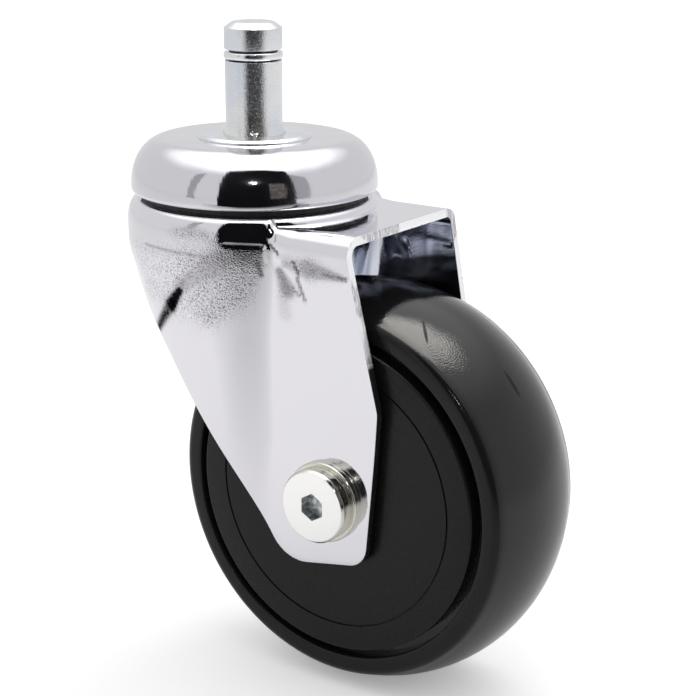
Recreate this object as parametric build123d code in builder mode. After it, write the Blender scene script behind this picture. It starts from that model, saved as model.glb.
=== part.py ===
"""Swivel castor with a grip-ring stem, in millimetres.

The castor hangs from its stem. Z is the swivel axis, with the seat of the stem at z = 0 and the
wheel below it. The wheel trails towards +X, and the axle lies along Y.
"""
from build123d import *
import math
import os

os.makedirs("parts", exist_ok=True)

# Stem: the pin that the socket grips
stem_radius = 5.556
stem_height = 21.4
stem_top_chamfer = 1.1
stem_top_bevel = 1.55
stem_head_step = 0.094
groove_low = 14.1
groove_width = 1.95
groove_depth = 0.85
foot_spread = 0.494
foot_height = 2.6
foot_flare = 6.5
grip_ring_stand = 0.214
grip_ring_play = 0.25
grip_ring_gap = 1.6
grip_ring_round = 0.3
pin_radius = 5.2
pin_fit = 0.05
rivet_spread = 1.3
rivet_height = 1.9

# Seat washer and the pressed cap over the upper balls
washer_radius = 11.2
washer_thickness = 0.7
washer_bevel = 0.5
cap_radius = 24.25
cap_sheet = 1.8
cap_shoulder_width = 6.45
cap_drop = 9.4
cap_lip_step = 0.75
cap_lip_drop = 0.95
cap_lip_width = 1.1
cap_lip_bow = 0.05

# Swivel races
race_ball_radius = 1.985
ball_play = 0.05
track_depth = 0.3
upper_track_inset = 4.83
upper_track_drop = 4.53
upper_ball_count = 20
lower_track_radius = 11.0
lower_ball_count = 12
bush_wall = 1.35
cup_sheet = 1.6
cup_overhang = 3.7
cup_rim_height = 2.4
cup_wall = 1.2
cup_edge = 0.4
rivet_washer_overhang = 1.9
rivet_washer_thickness = 1.0
rivet_washer_chamfer = 0.25

# Fork: one pressed sheet, with a crown inside the cap, a plate, a rounded skirt and two legs
sheet = 1.7
fork_half_width = 16.8
leg_splay = 1.8
leg_straight_rise = 11.3
plate_drop = 12.9
fork_rear = 35.0
boss_rise = 1.4
boss_shoulder_width = 2.0
boss_shoulder_drop = 2.4
crown_drop = 4.3
crown_shoulder_width = 5.2
crown_gap = 2.25
crown_foot_height = 0.8
crown_hole_play = 0.7
boss_foot_width = 0.6
crown_throat = 0.8
skirt_stand = 0.85
skirt_depth = 7.4
skirt_seam_radius = 3.0
bend_radius = 3.4
bulge_waist_drop = 20.4
bulge_waist_offset = 1.35
bulge_waist_narrowing = 2.4
bulge_bottom_drop = 6.7
bulge_bottom_offset = 5.0
bulge_bottom_narrowing = 6.9
leg_knee_behind = 12.1
leg_knee_rise = 19.5
leg_heel_behind = 9.1
leg_heel_drop = 11.3
leg_toe_ahead = 9.6
leg_toe_drop = 14.5
leg_front_ahead = 5.0
leg_front_drop = 27.9
apron_corner_ahead = 15.5
apron_corner_drop = 14.9
apron_drop = 12.4
outline_margin = 1.6
heel_radius = 4.5
toe_radius = 8.0
knee_radius = 4.0
apron_curve = 7.0

# Dust seal between the cap's lip and the fork's boss
seal_fit = 0.15
seal_wall = 1.9
seal_lip_play = 0.25
seal_foot_chamfer = 0.8
seal_lip_height = 0.8

# Wheel
trail = 28.9
wheel_radius = 39.8
wheel_headroom = 10.2
wheel_side_gap = 0.5
tyre_recess = 0.5
tyre_crown_drop = 3.7
tyre_shoulder_inset = 0.7
tyre_shoulder_round = 2.2
tyre_face_drop = 5.2
tyre_lip_drop = 7.1
tyre_lip_round = 0.5
tyre_seat_drop = 8.8
rim_inset = 2.5
rim_thickness = 3.0
web_half_thickness = 2.0
web_corner = 0.5
hub_wall = 3.5
hub_overhang = 0.3
hub_mouth = 0.6
hub_shoulder = 1.6
rib_count = 8
rib_thickness = 1.8
rib_inset = 3.6
cover_thickness = 1.6
cover_hole_play = 1.6
cover_edge_round = 0.4
cover_skirt_thickness = 1.6
cover_bearing_gap = 0.5
ring_line_inset = 14.0
ring_line_width = 0.3
ring_line_depth = 0.2
side_groove_depth = 2.7

# Wheel bearings: 8 x 22 x 7 mm
bearing_bore_radius = 4.0
bearing_radius = 11.0
bearing_width = 7.0
bearing_ball_radius = 1.985
bearing_ball_count = 7
inner_land = 2.15
outer_land = 2.0
cage_half_thickness = 0.55
cage_back = 2.75
cage_lip = 0.8
cage_pocket_play = 0.12
shield_thickness = 0.35
shield_inset = 0.15
shield_gap = 0.2

# Axle
axle_play = 0.03
axle_head_radius = 7.2
axle_head_thickness = 3.05
axle_head_bevel = 0.5
socket_flats = 4.76
socket_depth = 1.9
head_spacer_radius = 7.9
head_spacer_thickness = 1.3
leg_hole_play = 0.08
leg_bush_wall = 2.0
sleeve_wall = 1.6
nut_washer_radius = 8.0
nut_washer_thickness = 1.6
nut_flats = 13.0
nut_height = 5.6
nut_collar_wall = 1.93
nut_collar_height = 1.9
nut_chamfer = 0.8
nut_collar_taper = 0.4
nut_thread_play = 0.03
axle_tail = 1.2
axle_tail_chamfer = 0.6

# Radii and heights of the stack on the pin, from the seat down
stem_head_radius = stem_radius + stem_head_step
groove_top = groove_low + groove_width
groove_radius = stem_radius - groove_depth
grip_ring_radius = stem_radius + grip_ring_stand
foot_radius = stem_radius + foot_spread
pin_hole_radius = pin_radius + pin_fit
washer_hole_radius = foot_radius + pin_fit
bush_radius = pin_hole_radius + bush_wall
rivet_radius = pin_radius + rivet_spread
cap_inner_radius = cap_radius - cap_sheet
cap_flat_radius = cap_radius - cap_shoulder_width
cap_lip_radius = cap_radius - cap_lip_step
cap_top = -washer_thickness
cap_bottom = cap_top - cap_sheet
cap_rim = cap_top - cap_drop
cap_lip = cap_rim - cap_lip_drop
track_radius = race_ball_radius + ball_play
track_reach = track_radius - track_depth
upper_track_radius = cap_radius - upper_track_inset
upper_ball_z = cap_top - upper_track_drop
crown_radius = cap_inner_radius - crown_gap
crown_flat_radius = crown_radius - crown_shoulder_width
crown_hole_radius = bush_radius + crown_hole_play
crown_top = cap_top - crown_drop
crown_bottom = crown_top - sheet
lower_ball_z = crown_bottom - track_reach
cup_top = lower_ball_z - track_reach
cup_bottom = cup_top - cup_sheet
cup_radius = lower_track_radius + cup_overhang
cup_inner_radius = cup_radius - cup_wall
rivet_top = cup_bottom - rivet_washer_thickness
plate_top = cap_top - plate_drop
boss_top = plate_top + boss_rise
boss_radius = cap_radius + skirt_stand
boss_shoulder_radius = boss_radius - boss_shoulder_width
boss_foot = boss_top - boss_shoulder_drop
crown_foot = boss_top + crown_foot_height
seal_inner_radius = crown_radius + seal_fit
seal_outer_radius = seal_inner_radius + seal_wall
seal_lip_radius = cap_lip_radius - cap_lip_width - seal_lip_play

# Fork and axle: the legs follow the axle, and the axle leaves room for the tyre under the plate
skirt_radius = cap_radius + skirt_stand
skirt_bottom = plate_top - skirt_depth
axle_height = plate_top - sheet - wheel_headroom - wheel_radius
axle_plane = Plane(origin=(trail, 0, axle_height), x_dir=(0, 1, 0), z_dir=(1, 0, 0))
axle_line = Axis((trail, 0, axle_height), (0, 1, 0))
fork_shoulder_width = fork_half_width + leg_splay
leg_inner = fork_half_width - sheet
leg_straight_height = axle_height + leg_straight_rise
leg_knee = (trail + leg_knee_behind, axle_height + leg_knee_rise)
leg_heel = (trail + leg_heel_behind, axle_height - leg_heel_drop)
leg_toe = (trail - leg_toe_ahead, axle_height - leg_toe_drop)
leg_front = (-leg_front_ahead, plate_top - leg_front_drop)
apron_corner = (-apron_corner_ahead, plate_top - apron_corner_drop)
apron_front = (-skirt_radius - outline_margin, plate_top - apron_drop)
bulge_waist = plate_top - bulge_waist_drop
bulge_waist_radius = skirt_radius - bulge_waist_narrowing
bulge_bottom = axle_height - bulge_bottom_drop
bulge_bottom_radius = skirt_radius - bulge_bottom_narrowing

# Wheel and bearings: local x runs along the axle from its middle, local y is the radius
cover_face = leg_inner - wheel_side_gap
cover_back = cover_face - cover_thickness
tyre_side = cover_face - tyre_recess
tyre_shoulder_width = tyre_side - tyre_shoulder_inset
side_groove_floor = tyre_side - side_groove_depth
rim_half_width = cover_face - rim_inset
tyre_shoulder_radius = wheel_radius - tyre_crown_drop
tyre_face_radius = wheel_radius - tyre_face_drop
tyre_lip_radius = wheel_radius - tyre_lip_drop
tyre_seat_radius = wheel_radius - tyre_seat_drop
rim_inner_radius = tyre_seat_radius - rim_thickness
ring_line_radius = wheel_radius - ring_line_inset
hub_radius = bearing_radius + hub_wall
rib_half_width = rim_half_width - rib_inset + web_corner
bearing_outer_end = cover_back - cover_bearing_gap
bearing_inner_end = bearing_outer_end - bearing_width
bearing_middle = bearing_inner_end + bearing_width / 2
bearing_pitch_radius = (bearing_bore_radius + bearing_radius) / 2
inner_land_radius = bearing_bore_radius + inner_land
outer_land_radius = bearing_radius - outer_land
axle_radius = bearing_bore_radius - axle_play
leg_bush_radius = bearing_bore_radius + leg_bush_wall
sleeve_radius = bearing_bore_radius + sleeve_wall
cover_hole_radius = leg_bush_radius + cover_hole_play
nut_collar_radius = axle_radius + nut_collar_wall
hub_shoulder_radius = bearing_radius - hub_shoulder
cage_inner_radius = bearing_pitch_radius - cage_half_thickness
cage_outer_radius = bearing_pitch_radius + cage_half_thickness


def turned(points, axis=Axis.Z, plane=Plane.XZ):
    """A solid turned about an axis from a closed outline of (radius, height) points."""
    with BuildPart() as solid:
        with BuildSketch(plane):
            with BuildLine():
                Polyline(*points, close=True)
            make_face()
        revolve(axis=axis)
    return solid.part


def wheel_turned(inner, outer, start, end):
    """A plain ring about the axle, between two radii and two places along the axle."""
    points = ((start, inner), (end, inner), (end, outer), (start, outer))
    return turned(points, axle_line, axle_plane)


def track(pitch, height, radius):
    """The ring-shaped groove that a row of balls runs in."""
    with BuildPart() as groove:
        with Locations((0, 0, height)):
            Torus(pitch, radius)
    return groove.part


def save(part, name):
    part.label = name
    export_step(part, f"parts/{name}.step")


# Kingpin: turned pin with a foot that stands on the cap, its lower end spread over the rivet washer
with BuildPart() as kingpin:
    with BuildSketch(Plane.XZ):
        with BuildLine():
            Polyline(
                (0, stem_height),
                (stem_head_radius - stem_top_bevel, stem_height),
                (stem_head_radius, stem_height - stem_top_chamfer),
                (stem_head_radius, groove_top),
                (groove_radius, groove_top),
                (groove_radius, groove_low),
                (stem_radius, groove_low),
                (stem_radius, foot_height),
            )
            RadiusArc((stem_radius, foot_height), (foot_radius, 0), -foot_flare)
            Polyline(
                (foot_radius, 0),
                (foot_radius, cap_top),
                (pin_radius, cap_top),
                (pin_radius, rivet_top),
                (rivet_radius, rivet_top),
                (rivet_radius, rivet_top - rivet_height / 4),
            )
            ThreePointArc(
                (rivet_radius, rivet_top - rivet_height / 4),
                (0.85 * rivet_radius, rivet_top - 0.75 * rivet_height),
                (rivet_radius / 2, rivet_top - rivet_height),
            )
            Polyline(
                (rivet_radius / 2, rivet_top - rivet_height),
                (0, rivet_top - rivet_height),
                (0, stem_height),
            )
        make_face()
    revolve(axis=Axis.Z)
save(kingpin.part, "kingpin")

# Grip ring: split spring ring, sprung into the groove
ring_inner = groove_radius + pin_fit
ring_low = groove_low + grip_ring_play
ring_high = groove_top - grip_ring_play
ring_shoulder = grip_ring_radius - grip_ring_round
with BuildPart() as grip_ring:
    with BuildSketch(Plane.XZ):
        with BuildLine():
            Polyline(
                (ring_shoulder, ring_low),
                (ring_inner, ring_low),
                (ring_inner, ring_high),
                (ring_shoulder, ring_high),
            )
            ThreePointArc(
                (ring_shoulder, ring_high),
                (grip_ring_radius, (ring_low + ring_high) / 2),
                (ring_shoulder, ring_low),
            )
        make_face()
    revolve(axis=Axis.Z)
    with Locations((-stem_radius, 0, (ring_low + ring_high) / 2)):
        Box(2 * groove_depth + 2, grip_ring_gap, groove_width, mode=Mode.SUBTRACT)
save(grip_ring.part, "grip_ring")

# Seat washer: the socket's face rests on it
with BuildPart() as seat_washer:
    with Locations((0, 0, -washer_thickness / 2)):
        Cylinder(washer_radius, washer_thickness)
        Cylinder(washer_hole_radius, washer_thickness, mode=Mode.SUBTRACT)
    chamfer(seat_washer.faces().sort_by(Axis.Z)[-1].edges().sort_by(SortBy.RADIUS)[-1], washer_bevel)
save(seat_washer.part, "seat_washer")

# Raceway cap: pressed sheet, the upper balls run under its shoulder
with BuildPart() as raceway_cap:
    with BuildSketch(Plane.XZ):
        with BuildLine():
            Line((pin_hole_radius, cap_top), (cap_flat_radius, cap_top))
            EllipticalCenterArc(
                (cap_flat_radius, cap_rim), cap_radius - cap_flat_radius, cap_drop, 0, arc_size=90
            )
            ThreePointArc(
                (cap_radius, cap_rim),
                (cap_radius - cap_lip_bow, cap_rim - cap_lip_drop / 2),
                (cap_lip_radius, cap_lip),
            )
            Polyline(
                (cap_lip_radius, cap_lip),
                (cap_lip_radius - cap_lip_width, cap_lip),
                (cap_inner_radius, cap_rim),
            )
            EllipticalCenterArc(
                (cap_flat_radius, cap_rim),
                cap_inner_radius - cap_flat_radius,
                cap_drop - cap_sheet,
                0,
                arc_size=90,
            )
            Polyline(
                (cap_flat_radius, cap_bottom),
                (pin_hole_radius, cap_bottom),
                (pin_hole_radius, cap_top),
            )
        make_face()
    revolve(axis=Axis.Z)
    add(track(upper_track_radius, upper_ball_z, track_radius), mode=Mode.SUBTRACT)
save(raceway_cap.part, "raceway_cap")

# Core bush: sets the distance between the cap and the lower cup
with BuildPart() as core_bush:
    with Locations((0, 0, (cap_bottom + cup_top) / 2)):
        Cylinder(bush_radius, cap_bottom - cup_top)
        Cylinder(pin_hole_radius, cap_bottom - cup_top, mode=Mode.SUBTRACT)
save(core_bush.part, "core_bush")

# Lower cup: pressed dish that carries the lower balls
with BuildPart() as lower_cup:
    with BuildSketch(Plane.XZ):
        with BuildLine():
            Polyline(
                (pin_hole_radius, cup_bottom),
                (pin_hole_radius, cup_top),
                (cup_inner_radius, cup_top),
                (cup_inner_radius, cup_top + cup_rim_height),
                (cup_radius, cup_top + cup_rim_height),
                (cup_radius, cup_top - cup_edge),
                (cup_inner_radius, cup_bottom),
                close=True,
            )
        make_face()
    revolve(axis=Axis.Z)
    add(track(lower_track_radius, lower_ball_z, track_radius), mode=Mode.SUBTRACT)
save(lower_cup.part, "lower_cup")

# Rivet washer: spreads the load of the riveted end
with BuildPart() as rivet_washer:
    with Locations((0, 0, (cup_bottom + rivet_top) / 2)):
        Cylinder(rivet_radius + rivet_washer_overhang, rivet_washer_thickness)
        Cylinder(pin_hole_radius, rivet_washer_thickness, mode=Mode.SUBTRACT)
    rims = rivet_washer.edges().filter_by(GeomType.CIRCLE).group_by(SortBy.RADIUS)[-1]
    chamfer(rims, rivet_washer_chamfer)
save(rivet_washer.part, "rivet_washer")

# Swivel ball rows
for name, pitch, height, count in (
    ("upper_balls", upper_track_radius, upper_ball_z, upper_ball_count),
    ("lower_balls", lower_track_radius, lower_ball_z, lower_ball_count),
):
    with BuildPart() as ball_row:
        with Locations((0, 0, height)):
            with PolarLocations(pitch, count):
                Sphere(race_ball_radius)
    save(ball_row.part, name)


# Fork: a rounded skirt round the races, which narrows into two legs that draw in towards the wheel
def fork_form(inset):
    """The fork's solid form, moved in by the inset: the sheet is the space between two of these."""
    top = plate_top - inset
    shoulder = fork_shoulder_width - inset
    with BuildPart() as form:
        with BuildSketch(Plane.XY.offset(top)) as plan:
            Circle(skirt_radius - inset)
            with Locations((leg_knee[0] / 2, 0)):
                Rectangle(leg_knee[0], 2 * shoulder)
            seams = [v for v in plan.vertices() if 0 < v.X < leg_knee[0] - 1]
            fillet(seams, skirt_seam_radius + inset)
        extrude(amount=skirt_bottom - top)
        with BuildSketch(Plane.XY.offset(skirt_bottom)):
            Circle(skirt_radius - inset)
        with BuildSketch(Plane.XY.offset(bulge_waist)):
            with Locations((bulge_waist_offset, 0)):
                Circle(bulge_waist_radius - inset)
        loft()
        with BuildSketch(Plane.XY.offset(bulge_waist)):
            with Locations((bulge_waist_offset, 0)):
                Circle(bulge_waist_radius - inset)
        with BuildSketch(Plane.XY.offset(bulge_bottom)):
            with Locations((bulge_bottom_offset, 0)):
                Circle(bulge_bottom_radius - inset)
        loft()
        with BuildSketch(Plane.YZ):
            with BuildLine():
                Polyline(
                    (0, top),
                    (shoulder, top),
                    (shoulder, skirt_bottom),
                    (fork_half_width - inset, leg_straight_height),
                    (fork_half_width - inset, leg_toe[1]),
                    (0, leg_toe[1]),
                    close=True,
                )
            make_face()
            mirror(about=Plane.YZ)
        extrude(amount=leg_knee[0])
        top_edges = form.faces().sort_by(Axis.Z)[-1].edges()
        bends = [edge for edge in top_edges if edge.center().X < leg_knee[0] - 1]
        fillet(bends, bend_radius - inset)
    return form.part


outer_form = fork_form(0)
inner_form = fork_form(sheet)
with BuildPart() as fork:
    add(outer_form)
    add(inner_form, mode=Mode.SUBTRACT)
    with BuildSketch(Plane.XZ) as side_view:
        with BuildLine():
            Polyline(
                (apron_front[0], plate_top + 5),
                (fork_rear, plate_top + 5),
                (fork_rear, plate_top - bend_radius),
                leg_knee,
                leg_heel,
                leg_toe,
                leg_front,
                apron_corner,
                apron_front,
                close=True,
            )
        make_face()
        for corner, radius in (
            (leg_knee, knee_radius),
            (leg_heel, heel_radius),
            (leg_toe, toe_radius),
            (leg_front, apron_curve),
            (apron_corner, apron_curve),
        ):
            fillet(side_view.vertices().sort_by_distance((*corner, 0))[0], radius)
    extrude(amount=skirt_radius + outline_margin, both=True, mode=Mode.INTERSECT)
    with Locations((0, 0, plate_top)):
        Cylinder(boss_radius, 2 * sheet, mode=Mode.SUBTRACT)
    with BuildSketch(Plane.XZ) as crown_profile:
        with BuildLine():
            Polyline(
                (crown_hole_radius, crown_bottom),
                (crown_hole_radius, crown_top),
                (crown_flat_radius, crown_top),
            )
            EllipticalCenterArc(
                (crown_flat_radius, crown_foot),
                crown_radius - crown_flat_radius,
                crown_top - crown_foot,
                0,
                arc_size=90,
            )
            Polyline(
                (crown_radius, crown_foot),
                (crown_radius + crown_foot_height, boss_top),
                (boss_shoulder_radius, boss_top),
            )
            EllipticalCenterArc(
                (boss_shoulder_radius, boss_foot),
                boss_shoulder_width,
                boss_shoulder_drop,
                0,
                arc_size=90,
            )
            Polyline(
                (boss_radius, boss_foot),
                (boss_radius, plate_top - sheet),
                (boss_radius - sheet, plate_top - sheet),
                (boss_radius - sheet - boss_foot_width, boss_top - sheet),
                (crown_radius - sheet + crown_throat, boss_top - sheet),
                (crown_radius - sheet, crown_foot - crown_throat),
                (crown_radius - sheet, crown_foot),
            )
            EllipticalCenterArc(
                (crown_flat_radius, crown_foot),
                crown_radius - sheet - crown_flat_radius,
                crown_bottom - crown_foot,
                0,
                arc_size=90,
            )
            Line((crown_flat_radius, crown_bottom), (crown_hole_radius, crown_bottom))
        make_face()
    revolve(axis=Axis.Z)
    add(track(upper_track_radius, upper_ball_z, track_radius), mode=Mode.SUBTRACT)
    add(track(lower_track_radius, lower_ball_z, track_radius), mode=Mode.SUBTRACT)
    with Locations(Plane(origin=(trail, 0, axle_height), z_dir=(0, 1, 0))):
        Cylinder(axle_radius + leg_hole_play, 2 * skirt_radius, mode=Mode.SUBTRACT)
save(fork.part, "fork")

# Dust seal: soft ring on the fork's boss, its lip inside the cap
with BuildPart() as dust_seal:
    with BuildSketch(Plane.XZ):
        with BuildLine():
            Polyline(
                (seal_inner_radius + seal_foot_chamfer, boss_top),
                (seal_outer_radius, boss_top),
                (seal_outer_radius, cap_lip - seal_lip_height / 2),
                (seal_lip_radius, cap_lip),
                (seal_lip_radius, cap_lip + seal_lip_height),
                (seal_inner_radius, cap_lip + seal_lip_height),
                (seal_inner_radius, crown_foot),
                close=True,
            )
        make_face()
    revolve(axis=Axis.Z)
save(dust_seal.part, "dust_seal")

# Tyre: solid tread moulded on the rim, with a deep groove beside the cover
with BuildPart() as tyre:
    with BuildSketch(axle_plane):
        with BuildLine():
            Polyline(
                (0, tyre_seat_radius),
                (side_groove_floor, tyre_seat_radius),
                (side_groove_floor, tyre_lip_radius),
                (tyre_side - tyre_lip_round, tyre_lip_radius),
            )
            RadiusArc(
                (tyre_side - tyre_lip_round, tyre_lip_radius),
                (tyre_side, tyre_lip_radius + tyre_lip_round),
                -tyre_lip_round,
            )
            Line((tyre_side, tyre_lip_radius + tyre_lip_round), (tyre_side, tyre_face_radius))
            RadiusArc(
                (tyre_side, tyre_face_radius),
                (tyre_shoulder_width, tyre_shoulder_radius),
                -tyre_shoulder_round,
            )
            ThreePointArc(
                (tyre_shoulder_width, tyre_shoulder_radius),
                (tyre_shoulder_width / 2, wheel_radius - 0.25 * (wheel_radius - tyre_shoulder_radius)),
                (0, wheel_radius),
            )
            Line((0, wheel_radius), (0, tyre_seat_radius))
        make_face()
        mirror(about=Plane.YZ)
    revolve(axis=axle_line)
save(tyre.part, "tyre")

# Wheel core: hub, web with ribs, and rim in one moulding
hub_face = bearing_outer_end + hub_overhang
with BuildPart() as wheel_core:
    with BuildSketch(axle_plane):
        with BuildLine():
            Polyline(
                (-hub_face, bearing_radius + hub_mouth),
                (-bearing_outer_end, bearing_radius),
                (-bearing_inner_end, bearing_radius),
                (-bearing_inner_end, hub_shoulder_radius),
                (bearing_inner_end, hub_shoulder_radius),
                (bearing_inner_end, bearing_radius),
                (bearing_outer_end, bearing_radius),
                (hub_face, bearing_radius + hub_mouth),
                (hub_face, hub_radius),
                (web_half_thickness, hub_radius + 2 * web_corner),
                (web_half_thickness, rim_inner_radius - web_corner),
                (rim_half_width, rim_inner_radius + web_corner),
                (rim_half_width, tyre_seat_radius),
                (-rim_half_width, tyre_seat_radius),
                (-rim_half_width, rim_inner_radius + web_corner),
                (-web_half_thickness, rim_inner_radius - web_corner),
                (-web_half_thickness, hub_radius + 2 * web_corner),
                (-hub_face, hub_radius),
                close=True,
            )
        make_face()
    revolve(axis=axle_line)
    rib_length = rim_inner_radius - hub_radius + 2 * web_corner
    with Locations(Plane(origin=(trail, 0, axle_height), z_dir=(0, -1, 0))):
        with PolarLocations(hub_radius + rib_length / 2 - web_corner, rib_count):
            Box(rib_length, rib_thickness, 2 * rib_half_width)
save(wheel_core.part, "wheel_core")

# Covers, bearings and bushes: the same pieces on both sides of the wheel
for side_name, side in (("left", 1), ("right", -1)):
    with BuildPart() as cover:
        with BuildSketch(axle_plane):
            with BuildLine():
                Polyline(
                    (cover_back, cover_hole_radius),
                    (cover_face, cover_hole_radius),
                    (cover_face, ring_line_radius - ring_line_width / 2),
                    (cover_face - ring_line_depth, ring_line_radius),
                    (cover_face, ring_line_radius + ring_line_width / 2),
                    (cover_face, tyre_seat_radius - cover_edge_round),
                    (cover_face - cover_edge_round, tyre_seat_radius),
                    (rim_half_width, tyre_seat_radius),
                    (rim_half_width, tyre_seat_radius - cover_skirt_thickness),
                    (cover_back, tyre_seat_radius - cover_skirt_thickness - cover_edge_round),
                    close=True,
                )
            make_face()
            if side < 0:
                mirror(about=Plane.YZ, mode=Mode.REPLACE)
        revolve(axis=axle_line)
    save(cover.part, f"wheel_cover_{side_name}")

    near = side * bearing_inner_end
    far = side * bearing_outer_end
    ball_track = Plane(origin=(trail, side * bearing_middle, axle_height), z_dir=(0, side, 0))
    with BuildPart() as outer_race:
        add(wheel_turned(outer_land_radius, bearing_radius, near, far))
        with Locations(ball_track):
            Torus(bearing_pitch_radius, bearing_ball_radius + ball_play, mode=Mode.SUBTRACT)
    save(outer_race.part, f"bearing_outer_race_{side_name}")
    with BuildPart() as inner_race:
        add(wheel_turned(bearing_bore_radius, inner_land_radius, near, far))
        with Locations(ball_track):
            Torus(bearing_pitch_radius, bearing_ball_radius + ball_play, mode=Mode.SUBTRACT)
    save(inner_race.part, f"bearing_inner_race_{side_name}")
    with BuildPart() as bearing_balls:
        with Locations(ball_track):
            with PolarLocations(bearing_pitch_radius, bearing_ball_count):
                Sphere(bearing_ball_radius)
    save(bearing_balls.part, f"bearing_balls_{side_name}")
    cage_start = side * (bearing_middle - cage_back)
    cage_end = side * (bearing_middle + cage_lip)
    with BuildPart() as bearing_cage:
        add(wheel_turned(cage_inner_radius, cage_outer_radius, cage_start, cage_end))
        with Locations(ball_track):
            with PolarLocations(bearing_pitch_radius, bearing_ball_count):
                Sphere(bearing_ball_radius + cage_pocket_play, mode=Mode.SUBTRACT)
    save(bearing_cage.part, f"bearing_cage_{side_name}")
    shields = []
    for end, inward in ((near, 1), (far, -1)):
        outer_face = end + side * inward * shield_inset
        inner_face = outer_face + side * inward * shield_thickness
        ring = wheel_turned(inner_land_radius + shield_gap, outer_land_radius, outer_face, inner_face)
        shields.append(ring)
    with BuildPart() as bearing_shields:
        for ring in shields:
            add(ring)
    save(bearing_shields.part, f"bearing_shields_{side_name}")
    bush = wheel_turned(bearing_bore_radius, leg_bush_radius, far, side * leg_inner)
    save(bush, f"leg_bush_{side_name}")

# Axle sleeve: keeps the inner races apart when the axle is tightened
sleeve = wheel_turned(bearing_bore_radius, sleeve_radius, -bearing_inner_end, bearing_inner_end)
save(sleeve, "axle_sleeve")

# Head spacer: thick washer under the bolt's head
head_seat = -fork_half_width - head_spacer_thickness
spacer = wheel_turned(bearing_bore_radius, head_spacer_radius, head_seat, -fork_half_width)
save(spacer, "head_spacer")

# Axle bolt: low round head with a hexagon socket, the shank reaches past the nut
head_face = head_seat - axle_head_thickness
nut_seat = fork_half_width + nut_washer_thickness
axle_end = nut_seat + nut_height + axle_tail
with BuildPart() as axle_bolt:
    with BuildSketch(axle_plane):
        with BuildLine():
            Polyline(
                (head_face, 0),
                (head_face, axle_head_radius - axle_head_bevel),
                (head_face + axle_head_bevel, axle_head_radius),
                (head_seat, axle_head_radius),
                (head_seat, axle_radius),
                (axle_end - axle_tail_chamfer, axle_radius),
                (axle_end, axle_radius - axle_tail_chamfer),
                (axle_end, 0),
                close=True,
            )
        make_face()
    revolve(axis=axle_line)
    with BuildSketch(Plane(origin=(trail, head_face, axle_height), x_dir=(0, 0, 1), z_dir=(0, -1, 0))):
        RegularPolygon(socket_flats / 2, 6, major_radius=False)
    extrude(amount=-socket_depth, mode=Mode.SUBTRACT)
save(axle_bolt.part, "axle_bolt")

# Nut washer and lock nut on the far leg
washer = wheel_turned(bearing_bore_radius, nut_washer_radius, fork_half_width, nut_seat)
save(washer, "nut_washer")
nut_top = nut_seat + nut_height - nut_collar_height
nut_corner = nut_flats / 2 / math.cos(math.pi / 6)
nut_points = (
    (nut_seat, axle_radius + nut_thread_play),
    (nut_seat, nut_corner),
    (nut_top - nut_chamfer, nut_corner),
    (nut_top, nut_collar_radius),
    (nut_seat + nut_height, nut_collar_radius - nut_collar_taper),
    (nut_seat + nut_height, axle_radius + nut_thread_play),
)
with BuildPart() as axle_nut:
    with BuildSketch(Plane(origin=(trail, nut_seat, axle_height), x_dir=(0, 0, 1), z_dir=(0, 1, 0))):
        RegularPolygon(nut_flats / 2, 6, major_radius=False)
    extrude(amount=nut_height)
    add(turned(nut_points, axle_line, axle_plane), mode=Mode.INTERSECT)
save(axle_nut.part, "axle_nut")
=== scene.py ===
"""Swivel castor with a grip-ring stem: the finished look of each piece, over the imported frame.

Sizes are in millimetres. Z is the swivel axis, the seat washer's top is at z = 0, and the wheel
trails towards +X with its axle along Y.
"""
import math

import bpy
import numpy as np
from mathutils import Matrix, Vector


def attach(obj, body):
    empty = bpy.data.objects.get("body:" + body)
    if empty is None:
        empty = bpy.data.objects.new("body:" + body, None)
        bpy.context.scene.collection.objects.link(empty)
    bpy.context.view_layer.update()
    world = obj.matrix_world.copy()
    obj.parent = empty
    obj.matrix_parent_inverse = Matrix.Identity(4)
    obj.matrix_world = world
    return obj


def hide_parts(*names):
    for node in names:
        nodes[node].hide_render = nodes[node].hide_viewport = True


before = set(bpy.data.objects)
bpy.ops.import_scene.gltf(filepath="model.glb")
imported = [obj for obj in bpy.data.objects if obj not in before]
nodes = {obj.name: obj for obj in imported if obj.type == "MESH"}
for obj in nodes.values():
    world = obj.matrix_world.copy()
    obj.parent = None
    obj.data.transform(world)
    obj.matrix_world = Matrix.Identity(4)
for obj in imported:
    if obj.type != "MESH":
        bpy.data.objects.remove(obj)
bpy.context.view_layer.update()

# ---------------------------------------------------------------------------------------------
# Kingpin: the stem that the socket grips, a zinc-plated steel turning. Its foot stands on the
# cap, and its lower end is spread over the rivet washer.
# ---------------------------------------------------------------------------------------------
mm = 0.001
axle_x = 28.9
axle_z = -65.3


def rounded(corners, steps=5):
    """An outline whose corners (across, up, radius) are rounded; a radius of 0 leaves one sharp."""
    points = []
    for place, (across, up, radius) in enumerate(corners):
        if radius == 0:
            points.append((across, up))
            continue
        corner = Vector((across, up))
        before = (Vector(corners[place - 1][:2]) - corner).normalized()
        after = (Vector(corners[(place + 1) % len(corners)][:2]) - corner).normalized()
        half = math.acos(before.dot(after)) / 2
        middle = corner + (before + after).normalized() * radius / math.sin(half)
        start = corner + before * radius / math.tan(half) - middle
        end = corner + after * radius / math.tan(half) - middle
        first = math.atan2(start.y, start.x)
        turn = (math.atan2(end.y, end.x) - first + math.pi) % (2 * math.pi) - math.pi
        for step in range(steps + 1):
            angle = first + turn * step / steps
            points.append((middle.x + radius * math.cos(angle), middle.y + radius * math.sin(angle)))
    return points


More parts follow.
